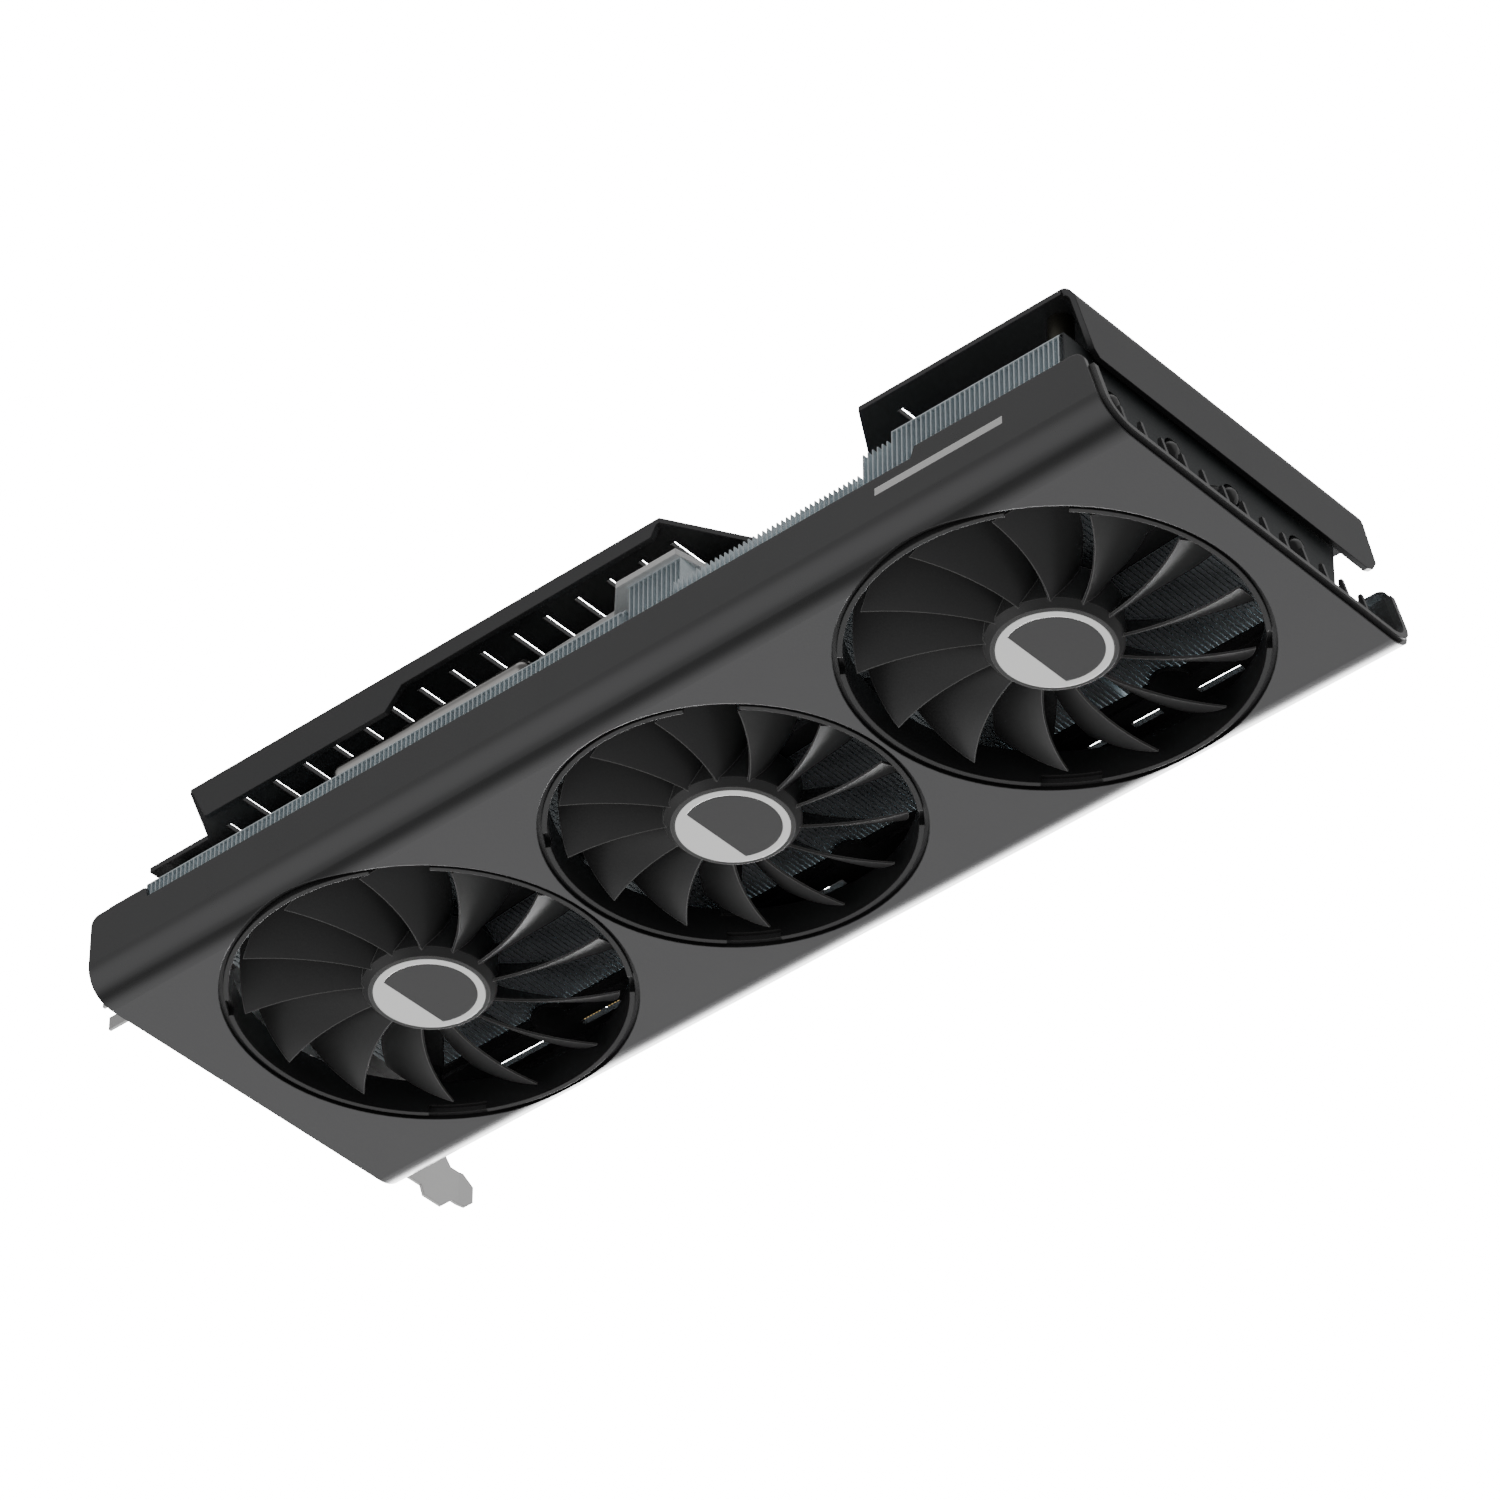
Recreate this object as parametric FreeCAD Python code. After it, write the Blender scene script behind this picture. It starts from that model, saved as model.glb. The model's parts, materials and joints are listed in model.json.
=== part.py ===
import FreeCAD, Part
import math
import os
from FreeCAD import Vector

# Triple-fan graphics card with a two-slot bracket. Units are millimetres.
# +X runs from the bracket to the tail, +Y from the long outer edge to the edge contacts,
# +Z from the fans to the backplate. The card lies on the flat face of its shroud, at Z = 0.

os.makedirs("parts", exist_ok=True)

# ---- driving dimensions ----
FAN_X = 7.5                  # axis of the middle fan
FAN_Y = -13.85               # all three fans lie on this line
FAN_PITCH = 99.3
BLADES = 13
OUTER_HOLE_R = 51.5          # shroud openings of the two outer fans
MIDDLE_HOLE_R = 46.7
HUB_R = 16.6
BLADE_Z0, BLADE_Z1 = 1.4, 12.4
FAN_PHASES = {"left": 305.1, "middle": 323.9, "right": 277.2}   # root angle of each first blade
BLADE_LAG = {"left": 13.5, "middle": 11.3, "right": 13.5}      # a tip trails its root by this angle

SHROUD_X0, SHROUD_X1 = -155.5, 168.8
WALL_Y0, WALL_Y1 = -69.35, 43.15
BEND_R = 9.0
SKIN = 1.2
LINER = 1.6
LINER_TOP = 19.2
TRIM = 1.0                           # the skin stops this far short of the liner at both ends
CORNER_R = 2.6                       # bracket end of the walls
TAIL_CORNER_R = 4.2                  # tail end of the walls
WALL_LOW_Z, WALL_HIGH_Z, CONTACT_WALL_Z = 20.6, 23.6, 24.0
LOW_X0, LOW_X1 = -136.0, 112.0       # stretch of the outer wall that is cut lower
TAIL_SLANT = 0.27                    # the tail edge leans back by this much per millimetre of height

FIN_PITCH = 1.46
FIN_T = 0.35
FIN_LIP = 1.1                        # width of a fin's lower edge, which is folded towards the tail
FIN_Y0, FIN_Y1 = -67.0, 31.6
FIN_Z0, FIN_Z1 = 20.0, 36.2
MAIN_X0, TALL_X0, TALL_X1, TAIL_X0, TAIL_X1 = -137.9, 19.3, 36.0, 94.5, 154.4
EDGE_Z, STEP_Z, TEETH_Z, TAIL_Z = 27.0, 28.8, 27.0, 34.0
EDGE_Y, STEP_Y, TALL_Y = -65.2, -46.0, -64.7    # inner ends of the low edge and step; tall fins' end

BRACKET_X = -157.4                   # outer face of the bracket
BRACKET_T = 0.86
BRACKET_H = 120.02
SLOT_PITCH = 20.32
TAB_Y = 69.35                        # tips of the lower tabs
FLANGE_X = -168.8                    # outer end of the top flange

BOARD_T = 1.57
BOARD_Z = 40.9                       # component side of the board
BOARD_X0, BOARD_X1 = -155.0, 98.0
BOARD_Y0 = -49.0
BOARD_Y1 = TAB_Y - 15.45             # main lower edge, above the contact tongue
CONTACT_Y = TAB_Y - 7.2              # lower edge of the contact tongue
NOTCH_X0, NOTCH_Y = 43.0, -36.0         # corner of the board that is cut out for the plugs

PLATE_T = 1.5
TOP_Z = 48.0                         # outer face of the backplate
PLATE_Y0, PLATE_Y1 = -68.3, 47.0
PLATE_END_Y0 = -67.0                 # outer edge of the plate at the tail
END_X = 157.2                        # outer face of the folded end plate


# ---- small geometry helpers ----
def box(x0, y0, z0, x1, y1, z1):
    return Part.makeBox(x1 - x0, y1 - y0, z1 - z0, Vector(x0, y0, z0))


def rod(x, y, z0, z1, r):
    return Part.makeCylinder(r, z1 - z0, Vector(x, y, z0))


def tube(x, y, z0, z1, r_in, r_out):
    return rod(x, y, z0, z1, r_out).cut(rod(x, y, z0 - 1, z1 + 1, r_in))


def prism(points, direction):
    wire = Part.makePolygon(points + [points[0]])
    return Part.Face(wire).extrude(direction)


def prism_xy(points, z0, z1):
    return prism([Vector(x, y, z0) for x, y in points], Vector(0, 0, z1 - z0))


def prism_xz(points, y0, y1):
    return prism([Vector(x, y0, z) for x, z in points], Vector(0, y1 - y0, 0))


def prism_yz(points, x0, x1):
    return prism([Vector(x0, y, z) for y, z in points], Vector(x1 - x0, 0, 0))


def fuse(shapes):
    return shapes[0].multiFuse(shapes[1:]).removeSplitter() if len(shapes) > 1 else shapes[0]


def turned(shape, x, y, degrees):
    copy = shape.copy()
    copy.rotate(Vector(x, y, 0), Vector(0, 0, 1), degrees)
    return copy


def save(name, shape):
    """Write one node; a list becomes a group of separate solids."""
    if isinstance(shape, list):
        shape = Part.makeCompound(shape)
    assert shape.isValid(), name
    solids = len(shape.Solids)
    shape.exportStep("parts/%s.step" % name)
    print("%-22s solids %3d  volume %9.1f" % (name, solids, shape.Volume))


# ---- fans: the three places, named from the bracket to the tail ----
FANS = [("left", FAN_X - FAN_PITCH, OUTER_HOLE_R), ("middle", FAN_X, MIDDLE_HOLE_R),
        ("right", FAN_X + FAN_PITCH, OUTER_HOLE_R)]
GROOVE = 1.2                         # gap between the skin's hole and the ring's lip
RING_T = 1.3
RING_Z0, LIP_Z, RING_Z1 = 0.3, 2.6, 9.8
TIP_GAP = 2.4                        # between the ring and the blade tips
ARM_Z0, ARM_Z1 = 14.4, 16.4
ARM_ANGLES = (-4.0, 133.0, 245.0)
MOTOR_R = 15.0
POST_R = 2.6
SCREW_R = 1.1
POST_LAP, SCREW_LAP = 2.0, 1.0       # posts and screws start this far below the ring's top
LIP_GAPS = ((125.0, 17.0), (305.0, 17.0), (215.0, 7.0), (37.0, 7.0))   # angle and width of each
ARM_HALF = 3.0
BEARING_R, BORE_R, SHAFT_R = 3.0, 1.55, 1.5
CUP_R, CUP_Z0 = 6.0, 13.0
CAP_T = 0.8                          # closed floor under the bearing
POLES, CORE_Z0, CORE_Z1 = 4, 6.0, 11.0
POLE_Z0, POLE_Z1, POLE_HALF = 6.6, 10.4, 2.2
SHOE_R, SHOE_T, SHOE_HALF = 12.0, 1.6, 5.0
COIL_BOARD_R, COIL_BOARD_T = 13.0, 1.2


def trough(inset, x0, x1, top):
    """Solid that fills the shroud's U section, inset by the given amount."""
    r = BEND_R - inset
    y0, y1 = WALL_Y0 + inset, WALL_Y1 - inset
    q = r * math.sin(math.pi / 4)
    left = Part.Arc(Vector(x0, y0, inset + r), Vector(x0, y0 + r - q, inset + r - q),
                    Vector(x0, y0 + r, inset)).toShape()
    right = Part.Arc(Vector(x0, y1 - r, inset), Vector(x0, y1 - r + q, inset + r - q),
                     Vector(x0, y1, inset + r)).toShape()
    flat = Part.makeLine(Vector(x0, y0 + r, inset), Vector(x0, y1 - r, inset))
    up = Part.makeLine(Vector(x0, y1, inset + r), Vector(x0, y1, top))
    lid = Part.makeLine(Vector(x0, y1, top), Vector(x0, y0, top))
    down = Part.makeLine(Vector(x0, y0, top), Vector(x0, y0, inset + r))
    face = Part.Face(Part.Wire([left, flat, right, up, lid, down]))
    return face.extrude(Vector(x1 - x0, 0, 0))


def tail_cut(x_end):
    """Wedge beyond the leaning tail edge that starts at x_end on the flat face."""
    return prism_xz([(x_end - TAIL_SLANT * 40, 40), (x_end + 20, 40), (x_end + 20, -5),
                     (x_end + TAIL_SLANT * 2, -5), (x_end + TAIL_SLANT * 2, -2)], -90, 90)


def shroud_cover():
    x0, x1 = SHROUD_X0 + TRIM, SHROUD_X1 - TRIM
    outer = trough(0, x0, x1, CONTACT_WALL_Z)
    inner = trough(SKIN, SHROUD_X0 - 1, SHROUD_X1 + 1, 40)
    skin = outer.cut(inner)
    slope = WALL_HIGH_Z - WALL_LOW_Z
    above = CONTACT_WALL_Z + 1
    low = prism_xz([(LOW_X0, above), (LOW_X0 + 0.8, WALL_LOW_Z), (LOW_X1 - slope * 0.4, WALL_LOW_Z),
                    (LOW_X1, WALL_HIGH_Z), (LOW_X1, above)], WALL_Y0 - 1, WALL_Y0 + SKIN + 1)
    high = box(SHROUD_X0 - 1, WALL_Y0 - 1, WALL_HIGH_Z, SHROUD_X1 + 1, WALL_Y0 + SKIN + 1, above)
    holes = [rod(x, FAN_Y, -1, 4, r) for name, x, r in FANS]
    skin = skin.cut(Part.makeCompound(holes)).cut(low).cut(high).cut(tail_cut(x1))
    for y in (WALL_Y0, WALL_Y1 - SKIN):
        top = WALL_HIGH_Z if y < 0 else CONTACT_WALL_Z
        z, r = top - CORNER_R, CORNER_R
        block = box(x0, y - 0.5, z, x0 + r, y + SKIN + 0.5, top + 1)
        keep = Part.makeCylinder(r, SKIN + 1, Vector(x0 + r, y - 0.5, z), Vector(0, 1, 0))
        skin = skin.cut(block.cut(keep))
        z, r = top - TAIL_CORNER_R, TAIL_CORNER_R
        x = x1 - TAIL_SLANT * z - r * math.hypot(1, TAIL_SLANT)
        tangent_z = z + r * math.sin(math.atan(TAIL_SLANT))
        block = box(x, y - 0.5, tangent_z, x1, y + SKIN + 0.5, top + 1)
        keep = Part.makeCylinder(r, SKIN + 1, Vector(x, y - 0.5, z), Vector(0, 1, 0))
        skin = skin.cut(block.cut(keep))
    return skin


SHELF_Y, SHELF_X0, SHELF_X1 = 31.0, -150.0, 156.0
SHELF_T = 1.2
SLIT_Y, SLIT_WIDTH = 35.9, 2.0
SLITS = [(-119.7, -98.0), (-87.8, -74.5), (-8.7, -1.2), (76.0, 82.1), (89.5, 98.1), (109.4, 122.7)]
LOBE_R = 5.4                         # round lobes that widen the shelf, one beside each fan
RIBS, RIB_PITCH, RIB_T, RIB_TOP = 13, 7.35, 1.0, 16.2
RIB_X0 = FAN_X + FAN_PITCH + OUTER_HOLE_R + 2.0
RIB_Y0 = WALL_Y0 + 13.5              # first rib
RIB_SETBACK = 3.2                    # from the tail edge


def liner_shelf():
    """Slit shelf that closes the gap between the contact wall and the fins."""
    z0 = LINER_TOP - SHELF_T
    plate = box(SHELF_X0, SHELF_Y, z0, SHELF_X1, WALL_Y1 - SKIN - LINER / 2, LINER_TOP)
    lobes = [rod(x - 0.8, SHELF_Y, z0, LINER_TOP, LOBE_R) for name, x, r in FANS]
    slits = [box(a, SLIT_Y, z0 - 1, b, SLIT_Y + SLIT_WIDTH, LINER_TOP + 1) for a, b in SLITS]
    return fuse([plate] + lobes).cut(Part.makeCompound(slits))


def shroud_liner():
    inset = SKIN + LINER
    outer = trough(SKIN, SHROUD_X0, SHROUD_X1, LINER_TOP)
    inner = trough(inset, SHROUD_X0 - 1, SHROUD_X1 + 1, 40)
    liner = outer.cut(inner)
    holes = [rod(x, FAN_Y, -1, RING_Z1, r - GROOVE) for name, x, r in FANS]
    liner = liner.cut(Part.makeCompound(holes)).cut(tail_cut(SHROUD_X1 + TAIL_SLANT * SKIN))
    ribs = []
    for i in range(RIBS):
        y = RIB_Y0 + i * RIB_PITCH
        rib = box(RIB_X0, y, inset - LINER / 4, SHROUD_X1, y + RIB_T, RIB_TOP)
        ribs.append(rib.cut(tail_cut(SHROUD_X1 - RIB_SETBACK)))
    return fuse([liner, liner_shelf()] + ribs)


def arm_end(x, r, angle):
    """Centre of the post behind a fan ring that one carrier arm is screwed to."""
    reach = r - GROOVE + 0.3
    a = math.radians(angle)
    return x + reach * math.cos(a), FAN_Y + reach * math.sin(a)


def fan_ring(x, r):
    r_out = r - GROOVE
    r_in = r_out - RING_T
    ring = tube(x, FAN_Y, RING_Z0, RING_Z1, r_in, r_out)
    gaps = []
    for angle, width in LIP_GAPS:
        half = math.radians(width / 2)
        reach = r + 2
        wedge = prism_xy([(x, FAN_Y),
                          (x + reach * math.cos(-half), FAN_Y + reach * math.sin(-half)),
                          (x + reach * math.cos(half), FAN_Y + reach * math.sin(half))],
                         RING_Z0 - 1, LIP_Z)
        gaps.append(turned(wedge, x, FAN_Y, angle))
    ring = ring.cut(Part.makeCompound(gaps))
    posts, bores = [], []
    for angle in ARM_ANGLES:
        px, py = arm_end(x, r, angle)
        posts.append(rod(px, py, RING_Z1 - POST_LAP, ARM_Z0, POST_R))
        bores.append(rod(px, py, RING_Z1 - SCREW_LAP, ARM_Z0 + 1, SCREW_R))
    return fuse([ring] + posts).cut(Part.makeCompound(bores))


def fan_carrier(x, r):
    base = rod(x, FAN_Y, ARM_Z0, ARM_Z1, MOTOR_R)
    pieces = [base]
    holes = []
    for angle in ARM_ANGLES:
        px, py = arm_end(x, r, angle)
        length = math.hypot(px - x, py - FAN_Y)
        arm = box(x + MOTOR_R / 2, FAN_Y - ARM_HALF, ARM_Z0, x + length, FAN_Y + ARM_HALF, ARM_Z1)
        turn = math.degrees(math.atan2(py - FAN_Y, px - x))
        pieces.append(turned(arm, x, FAN_Y, turn))
        pieces.append(rod(px, py, ARM_Z0, ARM_Z1, POST_R + 0.4))
        holes.append(rod(px, py, ARM_Z0 - 1, ARM_Z1 + 1, SCREW_R))
    body = fuse(pieces)
    cup = tube(x, FAN_Y, CUP_Z0, ARM_Z0 + 0.5, BEARING_R, CUP_R)
    holes.append(rod(x, FAN_Y, ARM_Z0 - 1, ARM_Z1 - CAP_T, BEARING_R))
    return fuse([body, cup]).cut(Part.makeCompound(holes))


def fan_bearing(x):
    return tube(x, FAN_Y, HUB_BOSS_Z + 0.2, ARM_Z1 - CAP_T, BORE_R, BEARING_R)


def fan_stator(x):
    """Steel core of the motor with its poles, and the round coil board behind them."""
    pieces = [tube(x, FAN_Y, CORE_Z0, CORE_Z1, BEARING_R, CUP_R)]
    for i in range(POLES):
        pole = box(x + CUP_R - 1, FAN_Y - POLE_HALF, POLE_Z0, x + SHOE_R, FAN_Y + POLE_HALF, POLE_Z1)
        shoe = box(x + SHOE_R - SHOE_T, FAN_Y - SHOE_HALF, POLE_Z0,
                   x + SHOE_R, FAN_Y + SHOE_HALF, POLE_Z1)
        turn = 360.0 / POLES * i
        pieces += [turned(pole, x, FAN_Y, turn), turned(shoe, x, FAN_Y, turn)]
    board = tube(x, FAN_Y, CORE_Z1, CORE_Z1 + COIL_BOARD_T, BEARING_R, COIL_BOARD_R)
    return fuse(pieces + [board])


def fan_shaft(x):
    return rod(x, FAN_Y, HUB_SKIN_Z, ARM_Z1 - CAP_T - 0.3, SHAFT_R)


HUB_RIM_R, HUB_WALL, HUB_BACK_Z = 14.9, 1.4, 12.6
RECESS_R, RECESS_Z = 13.9, 0.6       # shallow recess that holds the bright ring and the disc
HUB_SKIN_Z, HUB_FLOOR_Z, HUB_BOSS_Z, HUB_BOSS_R = 1.9, 3.2, 4.4, 2.6
DISC_R, BADGE_R, BADGE_Z = 11.85, 13.8, 0.5     # dark disc, and the bright ring round it
CHORD_X = -5.3                       # the bright segment fills the disc beyond this chord
BLADE_ROOT_R, BLADE_STEPS = 15.5, 6
ROOT_SWEEP, SWEEP_LOSS = 25.0, 0.13  # degrees, and degrees lost per millimetre outwards
ROOT_HALF, HALF_LOSS = 0.62, 0.06    # half the thickness at the root, and its loss per section


def blade_section(x, r, start, half):
    """Closed wire round one blade, in the plane square to its middle at distance r."""
    sweep = ROOT_SWEEP - SWEEP_LOSS * (r - HUB_R)
    middle = math.radians(start + sweep / 2)
    span = r * math.radians(sweep)
    outward = Vector(math.cos(middle), math.sin(middle), 0)
    along = Vector(-math.sin(middle), math.cos(middle), 0)
    rise = BLADE_Z1 - BLADE_Z0 - 1.0
    curl = 0.28                      # share of the rise that grows with the square of the way round
    low, high = [], []
    for i in range(BLADE_STEPS + 1):
        t = i / BLADE_STEPS
        u = span * (t - 0.5)
        z = BLADE_Z0 + 0.5 + rise * ((1 - curl) * t + curl * t * t)
        thick = half * (0.4 + 0.6 * math.sin(math.pi * (0.12 + 0.76 * t)))
        slope = math.atan2(rise * (1 - curl + 2 * curl * t), span)
        point = Vector(x, FAN_Y, z) + outward * r + along * u
        side = (Vector(0, 0, 1) * math.cos(slope) - along * math.sin(slope)) * thick
        low.append(point - side)
        high.append(point + side)
    sides = []
    for line in (low, high[::-1]):
        curve = Part.BSplineCurve()
        curve.interpolate(line)
        sides.append(curve.toShape())
    back = Part.makeLine(low[-1], high[-1])
    front = Part.makeLine(high[0], low[0])
    return Part.Wire([sides[0], back, sides[1], front])


def fan_rotor(x, r, phase, tip_lag):
    tip = r - GROOVE - RING_T - TIP_GAP
    sections = []
    for i in range(4):
        radius = BLADE_ROOT_R + (tip + 0.5 - BLADE_ROOT_R) * i / 3.0
        lag = tip_lag * (radius - HUB_R) / (tip - HUB_R)
        sections.append(blade_section(x, radius, phase - lag, ROOT_HALF - HALF_LOSS * i))
    inner = HUB_R - HUB_WALL
    blade = Part.makeLoft(sections, True, False).common(tube(x, FAN_Y, 0, 20, inner + 0.1, tip))
    profile = [(RECESS_R, RECESS_Z), (HUB_RIM_R, RECESS_Z), (HUB_R, 2.4), (HUB_R, HUB_BACK_Z),
               (inner, HUB_BACK_Z), (inner, HUB_FLOOR_Z), (HUB_BOSS_R, HUB_FLOOR_Z),
               (HUB_BOSS_R, HUB_BOSS_Z), (SHAFT_R, HUB_BOSS_Z), (SHAFT_R, HUB_SKIN_Z),
               (RECESS_R, HUB_SKIN_Z)]
    face = Part.Face(Part.makePolygon([Vector(x + a, FAN_Y, z) for a, z in profile + profile[:1]]))
    hub = face.revolve(Vector(x, FAN_Y, 0), Vector(0, 0, 1), 360)
    blades = [turned(blade, x, FAN_Y, 360.0 * i / BLADES) for i in range(BLADES)]
    return hub.multiFuse(blades)


def chord_side(x):
    return box(x - HUB_R, FAN_Y - HUB_R, 0, x + CHORD_X, FAN_Y + HUB_R, HUB_BOSS_Z)


def hub_ring(x):
    """Bright ring with a segment of the disc filled in on its bracket side."""
    ring = tube(x, FAN_Y, BADGE_Z, HUB_SKIN_Z, DISC_R, BADGE_R)
    return fuse([ring, rod(x, FAN_Y, BADGE_Z, HUB_SKIN_Z, DISC_R).common(chord_side(x))])


def hub_disc(x):
    return rod(x, FAN_Y, BADGE_Z, HUB_SKIN_Z, DISC_R).cut(chord_side(x))


def carrier_screws():
    screws = []
    for name, x, r in FANS:
        for angle in ARM_ANGLES:
            px, py = arm_end(x, r, angle)
            shank = rod(px, py, RING_Z1 - SCREW_LAP, ARM_Z1, SCREW_R)
            screws.append(screw_head(shank, px, py, ARM_Z1, ARM_Z1 + 1.3, 2.1))
    return screws


def screw_head(shank, x, y, z0, z1, r):
    """Shank joined to a round head with a cross recess in its outer end."""
    head = rod(x, y, min(z0, z1), max(z0, z1), r)
    deep, reach, half = 0.6, 1.1, 0.25
    outer = z1 - deep if z1 > z0 else z1
    cross = [box(x - reach, y - half, outer, x + reach, y + half, outer + deep),
             box(x - half, y - reach, outer, x + half, y + reach, outer + deep)]
    return fuse([shank, head]).cut(Part.makeCompound(cross))


# ---- cooler ----
PIPE_R = 3.0
PIPE_HIGH_Z, PIPE_LOW_Z = 33.2, 24.5          # under the cold plate, and in the tail
PIPE_X0, PIPE_X1 = -118.0, 153.2               # the round tail end reaches a radius further
BENT_PIPES_Y = (-28.5, -7.0, 17.3)
STRAIGHT_PIPE_Y = -50.0
EDGE_PIPE_X0, EDGE_PIPE_X1, EDGE_PIPE_Y = -78.5, -13.8, -61.5
DROP_X, DROP_R, DROP_ANGLE = 8.0, 18.0, 30.0
PIPE_GAP = 0.3
TAIL_POST_Z = TAIL_Z + 0.6                      # top of the tail fins, where the tail posts stand
FRAME_Z0, FRAME_Z1 = FIN_Z1, 38.0
FRAME_X0, FRAME_X1 = MAIN_X0 + 4.0, BOARD_X1 - 8.0
FRAME_NECK_X = 39.5                            # the frame ends here beside the power sockets
COLD_Z1 = 38.5
CHIP_X, CHIP_Y = -45.0, -4.0                   # centre of the main chip
COLD_HALF = 31.0
WINDOW_GAP = 0.5                               # round the cold plate, in the base frame
SOCKET_BACK_Y = -25.0                           # the frame stops behind the power sockets


def fin_comb(x0, x1, z1):
    """Plates standing across the card: joined along the top, each folded over along the bottom."""
    count = int(round((x1 - x0 - FIN_T) / FIN_PITCH))
    fold = FIN_Z0 + FIN_T
    outline = [(x0, FIN_Z0)]
    for i in range(count):
        x = x0 + i * FIN_PITCH
        outline += [(x + FIN_LIP, FIN_Z0), (x + FIN_LIP, fold), (x + FIN_T, fold),
                    (x + FIN_T, z1 - FIN_T), (x + FIN_PITCH, z1 - FIN_T), (x + FIN_PITCH, FIN_Z0)]
    x = x0 + count * FIN_PITCH
    outline += [(x + FIN_T, FIN_Z0), (x + FIN_T, z1), (x0, z1)]
    return prism_xz(outline, FIN_Y0, FIN_Y1)


def main_fins():
    end = TAIL_X0 - FIN_PITCH
    comb = fin_comb(MAIN_X0, end, FIN_Z1)
    cuts = [box(MAIN_X0 - 1, FIN_Y0 - 1, EDGE_Z, TALL_X0, EDGE_Y, 50),
            box(MAIN_X0 - 1, EDGE_Y - 0.1, STEP_Z, TALL_X0, STEP_Y, 50),
            box(TALL_X0, FIN_Y0 - 1, FIN_Z0 - 1, TALL_X1, TALL_Y, 50),
            box(TALL_X1, FIN_Y0 - 1, TEETH_Z, end + 1, -18.0, 50)]
    room = PIPE_R + PIPE_GAP
    for y in BENT_PIPES_Y:
        cuts.append(box(PIPE_X0 - 2, y - room, PIPE_HIGH_Z - room, end + 1, y + room, 50))
        cuts.append(box(DROP_X - 1, y - room, PIPE_LOW_Z - room, end + 1, y + room, 50))
    y = STRAIGHT_PIPE_Y
    cuts.append(box(PIPE_X0 - 2, y - room, PIPE_LOW_Z - room, end + 1, y + room, 50))
    comb = comb.cut(Part.makeCompound(cuts))
    folds = [box(MAIN_X0, FIN_Y0, EDGE_Z - FIN_T, TALL_X0, FIN_Y0 + 1.0, EDGE_Z),
             box(MAIN_X0, EDGE_Y, STEP_Z - FIN_T, TALL_X0, EDGE_Y + 3.0, STEP_Z),
             box(TALL_X1, FIN_Y0 + 3.0, FIN_Z0, end - 1.0, FIN_Y0 + 4.0, FIN_Z0 + FIN_T)]
    return fuse([comb] + folds)


def tail_fins():
    """Short stack over the tail; its first few plates are lower."""
    step_x, step_z = TAIL_X0 + 6 * FIN_PITCH, TAIL_Z - 1.6
    comb = fin_comb(TAIL_X0, TAIL_X1, TAIL_POST_Z)
    step = box(TAIL_X0 - 1, FIN_Y0 - 1, step_z, step_x, FIN_Y1 + 1, 50)
    holes = [Part.makeCylinder(PIPE_R, 80, Vector(TAIL_X0 - 5, y, PIPE_LOW_Z), Vector(1, 0, 0))
             for y in BENT_PIPES_Y + (STRAIGHT_PIPE_Y,)]
    comb = comb.cut(Part.makeCompound([step] + holes))
    fold = box(TAIL_X0, -20.0, step_z - FIN_T, step_x, -10.0, step_z)
    return fuse([comb, fold])


def bent_pipe(y):
    """Round pipe that runs high, drops through two equal arcs, and runs on low."""
    a = math.radians(DROP_ANGLE)
    fall = (PIPE_HIGH_Z - PIPE_LOW_Z) - 2 * DROP_R * (1 - math.cos(a))
    run = fall / math.tan(a)
    x, z = DROP_X, PIPE_HIGH_Z
    high_end = Vector(x, y, z)
    mid1 = Vector(x + DROP_R * math.sin(a / 2), y, z - DROP_R * (1 - math.cos(a / 2)))
    end1 = Vector(x + DROP_R * math.sin(a), y, z - DROP_R * (1 - math.cos(a)))
    start2 = Vector(end1.x + run, y, end1.z - fall)
    low_start = Vector(start2.x + DROP_R * math.sin(a), y, PIPE_LOW_Z)
    mid2 = Vector(low_start.x - DROP_R * math.sin(a / 2), y,
                  PIPE_LOW_Z + DROP_R * (1 - math.cos(a / 2)))
    edges = [Part.makeLine(Vector(PIPE_X0, y, z), high_end),
             Part.Arc(high_end, mid1, end1).toShape(),
             Part.makeLine(end1, start2),
             Part.Arc(start2, mid2, low_start).toShape(),
             Part.makeLine(low_start, Vector(PIPE_X1, y, PIPE_LOW_Z))]
    circle = Part.Wire(Part.makeCircle(PIPE_R, Vector(PIPE_X0, y, z), Vector(1, 0, 0)))
    pipe = Part.Wire(edges).makePipeShell([circle], True, False)
    return fuse([pipe, Part.makeSphere(PIPE_R, Vector(PIPE_X1, y, PIPE_LOW_Z))])


def capsule(x0, x1, y, z, r):
    """Straight pipe with round closed ends."""
    body = Part.makeCylinder(r, x1 - x0 - 2 * r, Vector(x0 + r, y, z), Vector(1, 0, 0))
    return fuse([body, Part.makeSphere(r, Vector(x0 + r, y, z)),
                 Part.makeSphere(r, Vector(x1 - r, y, z))])


def straight_pipe():
    return capsule(PIPE_X0, PIPE_X1 + PIPE_R, STRAIGHT_PIPE_Y, PIPE_LOW_Z, PIPE_R)


def cold_plate():
    return box(CHIP_X - COLD_HALF, CHIP_Y - COLD_HALF, FRAME_Z0, CHIP_X + COLD_HALF,
               CHIP_Y + COLD_HALF, COLD_Z1)


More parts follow.
